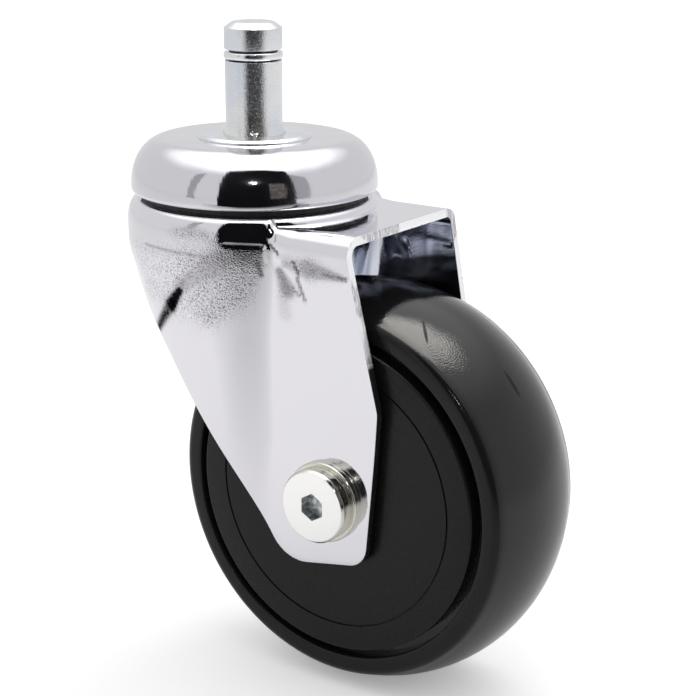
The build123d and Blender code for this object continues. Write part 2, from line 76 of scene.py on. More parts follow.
def turned(name, outline, about_axle=False, steps=144, turn=360.0, sharp=34.0):
    """A closed outline of (radius, place along the axis), spun about the swivel or the axle."""
    bpy.ops.object.select_all(action="DESELECT")
    bpy.ops.mesh.primitive_circle_add(vertices=len(outline), fill_type="NOTHING")
    piece = bpy.context.object
    piece.name = name
    for point, (radius, along) in zip(piece.data.vertices, outline):
        if about_axle:
            point.co = ((axle_x + radius) * mm, along * mm, axle_z * mm)
        else:
            point.co = (radius * mm, 0, along * mm)
    middle = (axle_x * mm, 0, axle_z * mm) if about_axle else (0, 0, 0)
    axis = (0, 1, 0) if about_axle else (0, 0, 1)
    bpy.ops.object.mode_set(mode="EDIT")
    bpy.ops.mesh.select_all(action="SELECT")
    bpy.ops.mesh.spin(steps=steps, angle=math.radians(turn), center=middle, axis=axis)
    bpy.ops.mesh.select_all(action="SELECT")
    bpy.ops.mesh.remove_doubles(threshold=2e-6)
    bpy.ops.mesh.delete_loose(use_verts=True, use_edges=True, use_faces=False)
    bpy.ops.mesh.select_all(action="SELECT")
    bpy.ops.mesh.normals_make_consistent(inside=False)
    bpy.ops.object.mode_set(mode="OBJECT")
    finished(piece, sharp)
    return piece


def finished(piece, sharp=34.0):
    """Smooth shading up to the given angle, with the piece's place in its mesh."""
    bpy.ops.object.select_all(action="DESELECT")
    piece.select_set(True)
    bpy.context.view_layer.objects.active = piece
    bpy.ops.object.transform_apply(location=True, rotation=True, scale=True)
    bpy.ops.object.shade_smooth_by_angle(angle=math.radians(sharp))


def surface(name, colour, roughness, metallic=0.0):
    """A new material with its nodes, their links and its shader."""
    material = bpy.data.materials.new(name)
    material.use_nodes = True
    tree = material.node_tree
    shader = tree.nodes["Principled BSDF"]
    shader.inputs["Base Color"].default_value = (*colour, 1)
    shader.inputs["Roughness"].default_value = roughness
    shader.inputs["Metallic"].default_value = metallic
    return material, tree, shader


def grain(tree, scale, detail, stretch=(1, 1, 1)):
    """A noise pattern fixed to the piece, stretched along an axis where its number is small."""
    place = tree.nodes.new("ShaderNodeTexCoord")
    mapping = tree.nodes.new("ShaderNodeMapping")
    mapping.inputs["Scale"].default_value = stretch
    noise = tree.nodes.new("ShaderNodeTexNoise")
    noise.inputs["Scale"].default_value = scale
    noise.inputs["Detail"].default_value = detail
    tree.links.new(place.outputs["Object"], mapping.inputs["Vector"])
    tree.links.new(mapping.outputs["Vector"], noise.inputs["Vector"])
    return noise.outputs[0]


def ramp(tree, value, stops):
    """A colour ramp: stops are (place, (red, green, blue))."""
    node = tree.nodes.new("ShaderNodeValToRGB")
    elements = node.color_ramp.elements
    while len(elements) < len(stops):
        elements.new(0.5)
    for element, (place, colour) in zip(elements, stops):
        element.position = place
        element.color = (*colour, 1)
    tree.links.new(value, node.inputs["Fac"])
    return node.outputs["Color"]


def spread(tree, value, low, high, first=0.0, last=1.0):
    """A value stretched from first..last to low..high."""
    node = tree.nodes.new("ShaderNodeMapRange")
    node.inputs["From Min"].default_value = first
    node.inputs["From Max"].default_value = last
    node.inputs["To Min"].default_value = low
    node.inputs["To Max"].default_value = high
    tree.links.new(value, node.inputs["Value"])
    return node.outputs["Result"]


def uneven_gloss(tree, shader, scale, detail, low, high, first=0.3, last=0.7):
    """A roughness that wanders from low to high over the surface."""
    wandering = spread(tree, grain(tree, scale, detail), low, high, first, last)
    tree.links.new(wandering, shader.inputs["Roughness"])


def combined(tree, operation, first, second):
    """Two values, or a value and a number, put through a math operation."""
    node = tree.nodes.new("ShaderNodeMath")
    node.operation = operation
    for socket, value in zip(node.inputs, (first, second)):
        if isinstance(value, (int, float)):
            socket.default_value = value
        else:
            tree.links.new(value, socket)
    return node.outputs[0]


def relief(tree, shader, height, depth, under=None):
    """A bump of the given depth in metres on the shader, over an earlier one."""
    node = tree.nodes.new("ShaderNodeBump")
    node.inputs["Strength"].default_value = 1.0
    node.inputs["Distance"].default_value = depth
    tree.links.new(height, node.inputs["Height"])
    if under is not None:
        tree.links.new(under, node.inputs["Normal"])
    tree.links.new(node.outputs["Normal"], shader.inputs["Normal"])
    return node.outputs["Normal"]


def place_along(tree, axis):
    """How far along one of the object's axes a point of the surface lies, in metres."""
    place = tree.nodes.new("ShaderNodeTexCoord")
    split = tree.nodes.new("ShaderNodeSeparateXYZ")
    tree.links.new(place.outputs["Object"], split.inputs["Vector"])
    return split.outputs[axis]


def painted(piece, material):
    """The piece's only material."""
    piece.data.materials.clear()
    piece.data.materials.append(material)


stem_r = 5.556
stem_top = 21.4
head_top_r = 4.1
head_r = 5.65
head_chamfer = 1.1
groove_r = 4.706
groove_top = 16.05
groove_low = 14.1
groove_bevel = 0.12
foot_r = 6.05
foot_high = 2.6
foot_flare = 7.1
cap_top = -0.7
pin_r = 5.2
rivet_seat = -12.77
rivet_r = 6.5
rivet_low = -14.67
# A ring of its own above the foot keeps the shading of the straight stem even.
stem_even = 5.0

zinc_plate, tree, shader = surface("zinc_plate", (0.78, 0.80, 0.83), 0.12, 0.95)
# Down in the ring's groove the colour is darkened almost to black: painted shade in the recess.
height = place_along(tree, "Z")
over_groove = spread(tree, height, 0.0, 1.0, (groove_top - 0.05) * mm, (groove_top - 0.01) * mm)
under_groove = spread(tree, height, 1.0, 0.0, (groove_low - 0.07) * mm, (groove_low - 0.03) * mm)
lit = spread(tree, combined(tree, "MAXIMUM", over_groove, under_groove), 0.03, 1.0)
tint = ramp(tree, grain(tree, 90, 4), [(0.35, (0.70, 0.74, 0.80)), (0.65, (0.84, 0.84, 0.82))])
shaded = tree.nodes.new("ShaderNodeVectorMath")
shaded.operation = "SCALE"
tree.links.new(tint, shaded.inputs[0])
tree.links.new(lit, shaded.inputs["Scale"])
tree.links.new(shaded.outputs["Vector"], shader.inputs["Base Color"])
uneven_gloss(tree, shader, 2600, 3, 0.06, 0.30, 0.46, 0.68)
relief(tree, shader, grain(tree, 4200, 3), 0.000045)

foot = [
    (stem_r + foot_flare - math.sqrt(foot_flare**2 - (foot_high - up) ** 2), up)
    for up in (foot_high, 2.2, 1.8, 1.4, 1.0, 0.7, 0.4, 0.2, 0.0)
]
kingpin_outline = (
    rounded(
        [
            (0, stem_top, 0),
            (head_top_r, stem_top, 0.55),
            (head_r, stem_top - head_chamfer, 0.3),
            (head_r, groove_top, 0.15),
        ]
    )
    + [(groove_r, groove_top), (groove_r, groove_low)]
    + [(stem_r - groove_bevel, groove_low), (stem_r, groove_low - groove_bevel), (stem_r, stem_even)]
    + foot
    + [(foot_r, cap_top), (pin_r, cap_top), (pin_r, rivet_seat), (rivet_r, rivet_seat)]
    + [(rivet_r, -13.2), (5.5, -14.2), (rivet_r / 2, rivet_low), (0, rivet_low)]
)
kingpin = turned("kingpin_turning", kingpin_outline)
painted(kingpin, zinc_plate)
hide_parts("kingpin")
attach(kingpin, "stem")

# ---------------------------------------------------------------------------------------------
# Grip ring: a split ring of round-faced spring wire in the kingpin's groove. It snaps behind the
# shoulder of the socket.
# ---------------------------------------------------------------------------------------------
spring_steel, tree, shader = surface("spring_steel", (0.80, 0.81, 0.83), 0.16, 1.0)
uneven_gloss(tree, shader, 1500, 2, 0.08, 0.26)
relief(tree, shader, grain(tree, 2600, 2), 0.000015)


def arc(middle_across, middle_up, wide, high, first, last, steps):
    """Points on an ellipse's arc, between two angles in degrees."""
    angles = [math.radians(first + (last - first) * step / steps) for step in range(steps + 1)]
    return [(middle_across + wide * math.cos(a), middle_up + high * math.sin(a)) for a in angles]


ring_gap = 16.5
ring_top = 15.75
ring_low = 14.4
ring_in = 4.76
ring_shoulder = 5.50
ring_outline = (
    [(ring_in, ring_low), (ring_shoulder, ring_low)]
    + arc(5.47, (ring_top + ring_low) / 2, 0.30, (ring_top - ring_low) / 2, -80, 80, 8)
    + [(ring_shoulder, ring_top), (ring_in, ring_top)]
)
grip_ring = turned("grip_ring_wire", ring_outline, steps=120, turn=360 - ring_gap)
bpy.ops.object.mode_set(mode="EDIT")
bpy.ops.mesh.select_all(action="DESELECT")
bpy.ops.mesh.select_non_manifold()
bpy.ops.mesh.fill_holes(sides=0)
bpy.ops.object.mode_set(mode="OBJECT")
gap_to_rear = Matrix.Rotation(math.radians(180 + ring_gap / 2), 4, "Z")
grip_ring.data.transform(gap_to_rear)
finished(grip_ring)
painted(grip_ring, spring_steel)
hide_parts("grip_ring")
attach(grip_ring, "stem")

# ---------------------------------------------------------------------------------------------
# Seat washer: a bevelled steel disc round the kingpin's foot, zinc plated. The end of the socket
# rests on it.
# ---------------------------------------------------------------------------------------------
seat_r = 11.2
seat_bevel = 0.5
seat_hole_r = 6.1
seat_outline = rounded(
    [
        (seat_hole_r, 0, 0.08),
        (seat_r - seat_bevel, 0, 0.12),
        (seat_r, -seat_bevel, 0.12),
        (seat_r, cap_top, 0),
        (seat_hole_r, cap_top, 0),
    ]
)
seat_washer = turned("seat_washer_disc", seat_outline)
painted(seat_washer, zinc_plate)
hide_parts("seat_washer")
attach(seat_washer, "stem")

# ---------------------------------------------------------------------------------------------
# Raceway cap: pressed steel over the upper balls, polished and chrome plated. Its lip curls in
# over the dust seal, and handling has left fine swirl marks on it.
# ---------------------------------------------------------------------------------------------
chrome_plate, tree, shader = surface("chrome_plate", (0.73, 0.72, 0.76), 0.035, 1.0)
uneven_gloss(tree, shader, 120, 4, 0.03, 0.13, 0.35, 0.7)
place = tree.nodes.new("ShaderNodeTexCoord")
wiped = tree.nodes.new("ShaderNodeMapping")
wiped.inputs["Location"].default_value = (-0.022, 0.012, 0.006)
swirls = tree.nodes.new("ShaderNodeTexWave")
swirls.wave_type = "RINGS"
swirls.rings_direction = "SPHERICAL"
swirls.inputs["Scale"].default_value = 520
swirls.inputs["Distortion"].default_value = 5.0
swirls.inputs["Detail"].default_value = 2.0
tree.links.new(place.outputs["Object"], wiped.inputs["Vector"])
tree.links.new(wiped.outputs["Vector"], swirls.inputs["Vector"])
waves = relief(tree, shader, grain(tree, 95, 2), 0.00022)
relief(tree, shader, swirls.outputs["Fac"], 0.0000012, waves)

cap_hole_r = 5.25
cap_sheet = 1.8
cap_flat_r = 17.8
cap_shoulder_wide = 6.45
cap_shoulder_high = 8.9
cap_lip_r = 23.35
cap_lip_middle = -10.2
# A ring of its own inside the flat's edge keeps the shading of the flat even.
cap_even_r = 15.0
cap_outline = (
    [(cap_hole_r, cap_top), (cap_even_r, cap_top)]
    + arc(cap_flat_r, cap_top - cap_shoulder_high, cap_shoulder_wide, cap_shoulder_high, 90, 0, 24)
    + arc(cap_lip_r, cap_lip_middle, 0.9, 0.85, -4, -90, 9)
    + [(22.5, -11.05), (22.4, -10.9), (22.45, -10.1)]
    + arc(cap_flat_r, -10.1, cap_shoulder_wide - cap_sheet, 7.6, 6, 90, 14)
    + [(cap_hole_r, cap_top - cap_sheet)]
)
raceway_cap = turned("raceway_cap_pressing", cap_outline, steps=180)
painted(raceway_cap, chrome_plate)
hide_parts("raceway_cap")
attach(raceway_cap, "stem")

# ---------------------------------------------------------------------------------------------
# Swivel races: two rows of ground steel balls between the cap, the fork and the lower cup, with
# the cup and its washer riveted up against a bush on the kingpin. All of it is greased.
# ---------------------------------------------------------------------------------------------
bearing_steel, tree, shader = surface("bearing_steel", (0.70, 0.71, 0.73), 0.10, 1.0)
uneven_gloss(tree, shader, 700, 2, 0.06, 0.18)
shader.inputs["Coat Weight"].default_value = 0.4
shader.inputs["Coat Roughness"].default_value = 0.12
shader.inputs["Coat Tint"].default_value = (1.0, 0.93, 0.78, 1)


def coated(material, *names):
    """The finish of pieces that keep the mesh they came with."""
    for name in names:
        nodes[name].material_slots[0].material = material


coated(bearing_steel, "upper_balls", "lower_balls")
coated(zinc_plate, "core_bush", "lower_cup", "rivet_washer")

# ---------------------------------------------------------------------------------------------
# Dust seal: a moulded rubber ring on the fork's boss, with its lip inside the cap.
# It fills the gap that would let dirt reach the balls.
# ---------------------------------------------------------------------------------------------
seal_rubber, tree, shader = surface("seal_rubber", (0.012, 0.012, 0.013), 0.55)
uneven_gloss(tree, shader, 1200, 3, 0.42, 0.68)
relief(tree, shader, grain(tree, 1800, 3), 0.00002)

seal_top = -10.25
seal_low = -12.2
seal_r = 22.3
seal_lip_r = 22.15
seal_in = 20.35
seal_outline = rounded(
    [
        (21.15, seal_low, 0),
        (seal_r, seal_low, 0.1),
        (seal_r, -11.4, 0.15),
        (seal_lip_r, -11.0, 0.12),
        (seal_lip_r, seal_top, 0.2),
        (seal_in, seal_top, 0.2),
        (seal_in, -11.4, 0),
    ]
)
dust_seal = turned("dust_seal_ring", seal_outline, steps=160)
painted(dust_seal, seal_rubber)
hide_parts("dust_seal")
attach(dust_seal, "fork")

# ---------------------------------------------------------------------------------------------
# Fork: one steel sheet, deep-drawn to a crown, a plate and a rounded skirt, then folded into two
# legs and chrome plated. Deep drawing leaves orange peel on the skirt and a pucker at the fold.
# ---------------------------------------------------------------------------------------------
sheet = 1.7
edge_r = 0.22
plate_top = -13.6
bend = 3.4
fork_rear = 35.0
leg_low = -79.8
leg_half_width = 18.6
skirt_r = 25.1
boss_rise = 1.4
shoulder_r = 23.1
shoulder_high = 4.2
plate_hole_r = 22.4
seam_round = 2.6
leg_columns = 60
skirt_columns = 79
straight_columns = 31
plate_rows = 12
bend_rows = 9
wall_rows = 92

corner_steps = 12
side_view = rounded(
    [
        (fork_rear, -10.0, 0),
        (fork_rear, -17.0, 9.0),
        (41.0, -45.8, 4.0),
        (38.0, -76.6, 4.5),
        (19.3, leg_low, 8.0),
        (-5.0, -41.5, 7.0),
        (-15.5, -28.5, 7.0),
        (-26.0, -26.0, 0),
    ],
    steps=corner_steps,
)
# The rear edge gives way to the lower edge half-way round the corner of the heel.
heel = next(place for place, (_across, up) in enumerate(side_view) if up < -70) + corner_steps // 2
rear_edge = side_view[: heel + 1][::-1]
lower_edge = side_view[heel:][::-1]
rear_heights, rear_places = zip(*[(up, across) for across, up in rear_edge])
lower_places, lower_heights = zip(*lower_edge)


def eased(value):
    """0 to 1 with a soft start and a soft end."""
    value = min(max(value, 0.0), 1.0)
    return value * value * (3 - 2 * value)


def below(height, first, softness):
    """How far a height is below a line, 0 above it, with a soft start."""
    depth = first - height
    return 0.5 * (depth + math.sqrt(depth * depth + softness * softness))


# The skirt's round leans to the rear and narrows from the first height down, less so from the second.
skirt_narrows = -21.0
skirt_straightens = -34.0
skirt_lean = 0.098
skirt_taper = 0.185
skirt_taper_lost = 0.066


def skirt_at(height):
    """The middle and the radius of the skirt's round at a height."""
    down = below(height, skirt_narrows, 1.0)
    further = below(height, skirt_straightens, 4.0)
    return skirt_lean * down, skirt_r - skirt_taper * down + skirt_taper_lost * further


# The legs draw in below a line that falls to the rear, and run straight again below the last height.
leg_narrows = -18.2
leg_narrows_fall = 0.19
leg_straightens = -54.0
leg_draw_in = 1.8


def leg_at(height, x=16.0):
    """Half the width over the legs at a height, which draws in below a line that falls to the rear."""
    first = leg_narrows - leg_narrows_fall * (x - 20.0)
    drawn_in = below(height, first, 0.8) - below(height, leg_straightens, 4.0)
    return leg_half_width - leg_draw_in * drawn_in / (first - leg_straightens)


# Columns stand closer together at both ends of a leg.
end_crowding = 0.45


def wall_at(column, height):
    """The place of a column of the sheet's outer face at a height."""
    middle, radius = skirt_at(height)
    half_width = leg_at(height)
    seam_x = middle + math.sqrt(radius**2 - half_width**2)
    if column <= leg_columns:
        part = column / leg_columns
        part -= end_crowding * math.sin(2 * math.pi * part) / (2 * math.pi)
        rear_x = float(np.interp(height, rear_heights, rear_places))
        x = rear_x + (seam_x - rear_x) * part
    else:
        part = (column - leg_columns) / skirt_columns
        part = (part + part * part) / 2
        first = math.acos((seam_x - middle) / radius)
        angle = first + (math.pi - first) * part
        x = middle + radius * math.cos(angle)
        if x <= middle:
            return x, radius * math.sin(angle)
    half_width = leg_at(height, x)
    round_y = math.sqrt(max(radius**2 - (x - middle) ** 2, 0.0))
    near = max(seam_round - abs(round_y - half_width), 0.0) / seam_round
    return x, max(round_y, half_width) + near * near * seam_round / 4


def bottom_at(column):
    """The height at which a column meets the sheet's cut lower edge."""
    low, high = leg_low, plate_top - bend
    for _ in range(40):
        height = (low + high) / 2
        x, _y = wall_at(column, height)
        if height > float(np.interp(x, lower_places, lower_heights)):
            high = height
        else:
            low = height
    return (low + high) / 2


def outward_at(column, height):
    """The outward direction of the wall in plan."""
    before = Vector(wall_at(max(column - 0.5, 0), height))
    after = Vector(wall_at(min(column + 0.5, leg_columns + skirt_columns), height))
    along = (after - before).normalized()
    return Vector((along.y, -along.x))


# Marks that the pressing left, with painted shade and reflection on some: the start and end of each
# (along, up), its half-width at both, how far it stands out, how dark it is painted and how rough.
marks = (
    ((17.9, -16.7), (19.6, -18.2), 0.28, 0.28, -0.05, 0.85, 0.3),
    ((16.8, -17.1), (15.6, -18.5), 0.22, 0.22, -0.04, 0.50, 0.3),
    ((17.5, -17.6), (17.4, -19.6), 0.90, 0.50, 0.06, 0.0, -0.8),
    ((19.6, -19.3), (22.4, -19.0), 0.45, 0.45, 0.10, 0.0, -0.9),
    ((23.0, -19.4), (24.3, -21.6), 0.40, 0.40, -0.05, 0.80, 0.5),
    ((24.6, -21.6), (26.2, -26.2), 0.45, 0.35, 0.10, 0.0, -0.6),
    ((23.8, -22.3), (25.5, -26.4), 0.42, 0.36, -0.05, 0.60, 0.4),
    ((19.9, -20.3), (22.6, -21.6), 0.35, 0.30, 0.08, 0.0, -0.5),
    ((19.8, -21.6), (21.4, -24.8), 1.0, 1.9, -0.12, 0.50, 1.1),
    ((22.2, -24.3), (24.3, -25.6), 0.5, 0.3, -0.05, 0.50, 0.9),
    ((20.2, -26.0), (20.8, -29.5), 1.2, 1.6, 0.0, 0.12, 0.5),
    ((15.7, -20.2), (16.2, -22.6), 0.50, 0.5, -0.05, 0.60, 0.8),
    ((21.2, -19.8), (26.4, -20.2), 1.0, 1.9, -0.03, 0.28, 1.2),
    ((26.4, -20.2), (34.8, -21.0), 1.9, 0.5, -0.03, 0.45, 1.2),
    ((30.0, -20.7), (34.9, -21.0), 0.5, 0.35, -0.03, 0.65, 1.2),
    ((1.8, -24.6), (0.4, -26.6), 0.5, 0.9, -0.08, 0.50, 0.9),
    ((0.2, -27.0), (-3.0, -30.6), 0.8, 1.4, -0.22, 1.40, 0.9),
    ((-3.0, -30.6), (-8.4, -36.2), 1.3, 0.8, -0.15, 0.95, 1.0),
    ((0.4, -26.2), (9.0, -20.6), 1.4, 2.6, 0.0, 0.30, 0.5),
    ((-8.1, -19.0), (5.6, -19.4), 0.35, 0.35, -0.03, 0.30, 0.4),
    ((10.5, -17.0), (16.2, -17.2), 0.32, 0.32, -0.05, 0.55, 0.6),
    ((-14.0, -21.5), (3.0, -22.5), 3.4, 3.4, 0.0, 0.0, 0.7),
    ((0.5, -15.6), (6.5, -15.4), 1.5, 1.3, 0.0, 0.08, 0.7),
    ((-9.0, -28.0), (4.0, -29.0), 3.4, 4.2, 0.0, 0.0, 0.8),
    ((5.0, -23.0), (12.0, -22.0), 5.0, 4.0, 0.0, 0.06, 1.2),
    ((6.0, -31.0), (11.0, -27.0), 2.6, 3.2, 0.0, 0.06, 1.0),
    ((17.2, -22.5), (14.0, -48.0), 0.8, 1.2, 0.0, 0.0, -0.9),
)
marks_top = -13.0
# Orange peel starts below this height on the legs, and higher up on the skirt in front of them.
peel_top = -16.9
peel_higher_on_skirt = 3.2
skirt_from = 10.5


def marked(x, height):
    """How far the drawn sheet stands out at a place of the side view, its painted shade and roughness."""
    here = Vector((x, height))
    out = painted_dark = rough = 0.0
    for start, end, first_wide, last_wide, high, painted_darkness, roughened in marks:
        start, along = Vector(start), Vector(end) - Vector(start)
        part = min(max((here - start).dot(along) / along.length_squared, 0.0), 1.0)
        wide = first_wide + (last_wide - first_wide) * part
        away = (here - start - along * part).length
        if away < 3 * wide:
            near = math.exp(-((away / wide) ** 2))
            out += high * near
            painted_dark = max(painted_dark, painted_darkness * math.exp(-((away / wide) ** 4)))
            rough += roughened * near
    top = peel_top + peel_higher_on_skirt * eased((skirt_from - x) / 3)
    worked = eased((top - height) / 1.2)
    return out, painted_dark, min(max(rough, 0.0), 1.2) * worked


# Forward of these places the flat plate passes into the round shoulder and steps up to the boss.
shoulder_rear = 22.7
shoulder_run = 4.4
boss_rear = 18.6
boss_run = 1.1


def pressed(column, row):
    """The place on the sheet's outer face of a crossing of the grid."""
    x_edge, _y = wall_at(column, plate_top - bend)
    crown = min(max((shoulder_rear - x_edge) / shoulder_run, 0.0), 1.0)
    crown = 0.6 * crown + 0.4 * eased(crown)
    level = plate_top + boss_rise * eased((boss_rear - x_edge) / boss_run)
    top = plate_top - bend + (boss_rise - shoulder_high + bend) * crown
    deep = level - top
    wide = bend + (skirt_r - shoulder_r - bend) * crown
    edge = Vector(wall_at(column, top))
    inner_edge = edge - outward_at(column, top) * wide
    if row <= plate_rows:
        if column <= straight_columns:
            start = Vector((fork_rear - (fork_rear - plate_hole_r) * column / straight_columns, 0))
        else:
            swept = math.atan2(inner_edge.y, inner_edge.x)
            if column < leg_columns:
                swept *= (column - straight_columns) / (leg_columns - straight_columns)
            start = Vector((plate_hole_r * math.cos(swept), plate_hole_r * math.sin(swept)))
        place = start.lerp(inner_edge, row / plate_rows)
        return place.x, place.y, level
    if row <= plate_rows + bend_rows:
        angle = math.pi / 2 * (row - plate_rows) / bend_rows
        place = inner_edge.lerp(edge, math.sin(angle))
        return place.x, place.y, level - deep * (1 - math.cos(angle))
    part = (row - plate_rows - bend_rows) / wall_rows
    part = 0.7 * part + 0.3 * part * part
    height = top + (bottom_at(column) - top) * part
    place = Vector(wall_at(column, height))
    place += outward_at(column, height) * marked(place.x, height)[0]
    return place.x, place.y, height


columns = leg_columns + skirt_columns
rows = plate_rows + bend_rows + wall_rows
bpy.ops.object.select_all(action="DESELECT")
bpy.ops.mesh.primitive_grid_add(x_subdivisions=columns, y_subdivisions=rows, size=1)
fork = bpy.context.object
fork.name = "fork_pressing"
painted_darkening = fork.data.attributes.new("painted_darkening", "FLOAT", "POINT")
roughening = fork.data.attributes.new("roughening", "FLOAT", "POINT")
for point in fork.data.vertices:
    column = round((point.co.x + 0.5) * columns)
    row = round((point.co.y + 0.5) * rows)
    x, y, z = pressed(column, row)
    point.co = (x * mm, -y * mm, z * mm)
    if z < marks_top:
        _out, painted_darkening.data[point.index].value, roughening.data[point.index].value = marked(x, z)
far_half = fork.modifiers.new("far_half", "MIRROR")
far_half.use_axis = (False, True, False)
far_half.use_clip = True
far_half.merge_threshold = 0.00002
bpy.ops.object.modifier_apply(modifier=far_half.name)

# Material slots: 0 the outer face, 1 the sheared edge, 2 the inner face, 3 the rounding of the edge.
wall = fork.modifiers.new("wall", "SOLIDIFY")
wall.thickness = sheet * mm
wall.offset = -1
wall.material_offset_rim = 1
wall.material_offset = 2
edge_round = fork.modifiers.new("edge_round", "BEVEL")
edge_round.width = edge_r * mm
edge_round.segments = 2
edge_round.limit_method = "ANGLE"
edge_round.angle_limit = math.radians(60)
edge_round.material = 3

# The fork's chrome is painted lighter than the cap's chrome: painted light on the legs.
fork_chrome, tree, shader = surface("fork_chrome", (0.80, 0.79, 0.83), 0.04, 1.0)
painted_dark_marks = tree.nodes.new("ShaderNodeAttribute")
painted_dark_marks.attribute_name = "painted_darkening"
rough_marks = tree.nodes.new("ShaderNodeAttribute")
rough_marks.attribute_name = "roughening"
speckled = grain(tree, 3700, 1)
peeled = combined(tree, "ADD", rough_marks.outputs["Fac"], 0.05)
waves = relief(tree, shader, grain(tree, 150, 1), 0.00007)
relief(tree, shader, combined(tree, "MULTIPLY", speckled, peeled), 0.00010, waves)
tree.links.new(spread(tree, peeled, 0.03, 0.10, 0.1, 1.2), shader.inputs["Roughness"])
# Dark speckles in the orange peel are painted reflection.
painted_peel_speckle = combined(tree, "MULTIPLY", rough_marks.outputs["Fac"], spread(tree, speckled, 0.0, 0.55, 0.50, 0.66))
painted_dark = combined(tree, "MULTIPLY", painted_dark_marks.outputs["Fac"], spread(tree, speckled, 0.75, 1.2, 0.35, 0.65))
painted_dark = combined(tree, "MAXIMUM", painted_peel_speckle, painted_dark)
# Painted shade and dark reflection in the creases darken the chrome and take its shine away.
painted_dark_chrome = [(0.0, (0.80, 0.79, 0.83)), (0.5, (0.34, 0.33, 0.35)), (1.0, (0.012, 0.012, 0.016))]
painted_dark_shine = [(0.1, (1.0, 1.0, 1.0)), (1.0, (0.02, 0.02, 0.02))]
tree.links.new(ramp(tree, painted_dark, painted_dark_chrome), shader.inputs["Base Color"])
tree.links.new(ramp(tree, painted_dark, painted_dark_shine), shader.inputs["Specular Tint"])

# The inner face is a darker, bluer chrome than the outer: painted shade inside the fork, with painted
# streaks of reflection.
fork_inside, tree, shader = surface("fork_inside_chrome", (0.66, 0.69, 0.78), 0.07, 1.0)
painted_reflection_streaks = grain(tree, 420, 1, stretch=(1, 1, 0.03))
painted_streak_chrome = [(0.36, (0.34, 0.38, 0.48)), (0.62, (0.74, 0.76, 0.84))]
tree.links.new(ramp(tree, painted_reflection_streaks, painted_streak_chrome), shader.inputs["Base Color"])
uneven_gloss(tree, shader, 240, 3, 0.05, 0.14)
waves = relief(tree, shader, grain(tree, 110, 1, stretch=(1, 1, 0.3)), 0.00006)
relief(tree, shader, grain(tree, 3000, 2), 0.000012, waves)


def painted_shade_low_on_leg(tree):
    """1 on the lower legs, where the cut edge faces the dark wheel and edges get painted shade; 0 above."""
    return spread(tree, place_along(tree, "Z"), 1.0, 0.0, -37.5 * mm, -35.0 * mm)


cut_edge, tree, shader = surface("cut_edge_chrome", (0.95, 0.95, 0.97), 0.4, 0.6)
uneven_gloss(tree, shader, 500, 3, 0.22, 0.48)
sheared = grain(tree, 2600, 1, stretch=(0.4, 1, 0.1))
torn_and_painted_shade = combined(tree, "MULTIPLY", sheared, spread(tree, grain(tree, 130, 1), 0.0, 1.0, 0.42, 0.56))
relief(tree, shader, torn_and_painted_shade, 0.0003)
# Low on the legs the cut edge is painted near black: painted shade by the dark wheel. Above, the tears of
# the shearing stay.
torn_and_painted_shade = combined(tree, "MAXIMUM", torn_and_painted_shade, painted_shade_low_on_leg(tree))
torn_and_painted_shade_chrome = [
    (0.30, (0.95, 0.95, 0.97)),
    (0.56, (0.42, 0.42, 0.45)),
    (0.66, (0.90, 0.90, 0.92)),
    (1.0, (0.02, 0.02, 0.022)),
]
tree.links.new(ramp(tree, torn_and_painted_shade, torn_and_painted_shade_chrome), shader.inputs["Base Color"])

# The rounded edges are painted dark in patches and all dark low on the legs: painted dark reflections and
# shade.
rolled_edge, tree, shader = surface("rolled_edge_chrome", (0.4, 0.4, 0.42), 0.2, 1.0)
painted_edge_shade = combined(tree, "MAXIMUM", grain(tree, 260, 2), painted_shade_low_on_leg(tree))
painted_edge_shade_chrome = [(0.40, (0.10, 0.10, 0.11)), (0.62, (0.95, 0.95, 0.97))]
tree.links.new(ramp(tree, painted_edge_shade, painted_edge_shade_chrome), shader.inputs["Base Color"])

for material in (fork_chrome, cut_edge, fork_inside, rolled_edge):
    fork.data.materials.append(material)
bpy.ops.object.mode_set(mode="EDIT")
bpy.ops.mesh.select_all(action="SELECT")
bpy.ops.mesh.normals_make_consistent(inside=False)
bpy.ops.object.mode_set(mode="OBJECT")
for modifier in list(fork.modifiers):
    bpy.ops.object.modifier_apply(modifier=modifier.name)

boss_top = plate_top + boss_rise
tucked_in = 0.02
shoulder_foot = boss_top - shoulder_high
shoulder_wide = skirt_r - shoulder_r - 0.03
crown_hole_r = 7.3
crown_flat_r = 15.0
crown_top = -5.0
crown_foot = -11.4
crown_wide = 5.2
crown_high = 6.4
crown_outline = (
    [(crown_hole_r, crown_top - sheet), (crown_hole_r, crown_top)]
    + arc(crown_flat_r, crown_foot, crown_wide, crown_high, 90, 6, 12)
    + [(crown_flat_r + crown_wide, crown_foot), (21.0, boss_top - tucked_in)]
    + arc(shoulder_r, shoulder_foot, shoulder_wide, shoulder_high - tucked_in, 90, 16, 12)
    + [(23.6, -15.2), (22.8, -13.8), (19.3, -13.8)]
    + [(crown_flat_r + crown_wide - sheet, -12.2), (crown_flat_r + crown_wide - sheet, crown_foot)]
    + arc(crown_flat_r, crown_foot, crown_wide - sheet, crown_high - sheet, 6, 90, 10)
)
crown = turned("fork_crown", crown_outline)
crown.data.materials.append(fork_chrome)
bpy.ops.object.select_all(action="DESELECT")
crown.select_set(True)
fork.select_set(True)
bpy.context.view_layer.objects.active = fork
bpy.ops.object.join()
finished(fork, 40)
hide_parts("fork")
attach(fork, "fork")

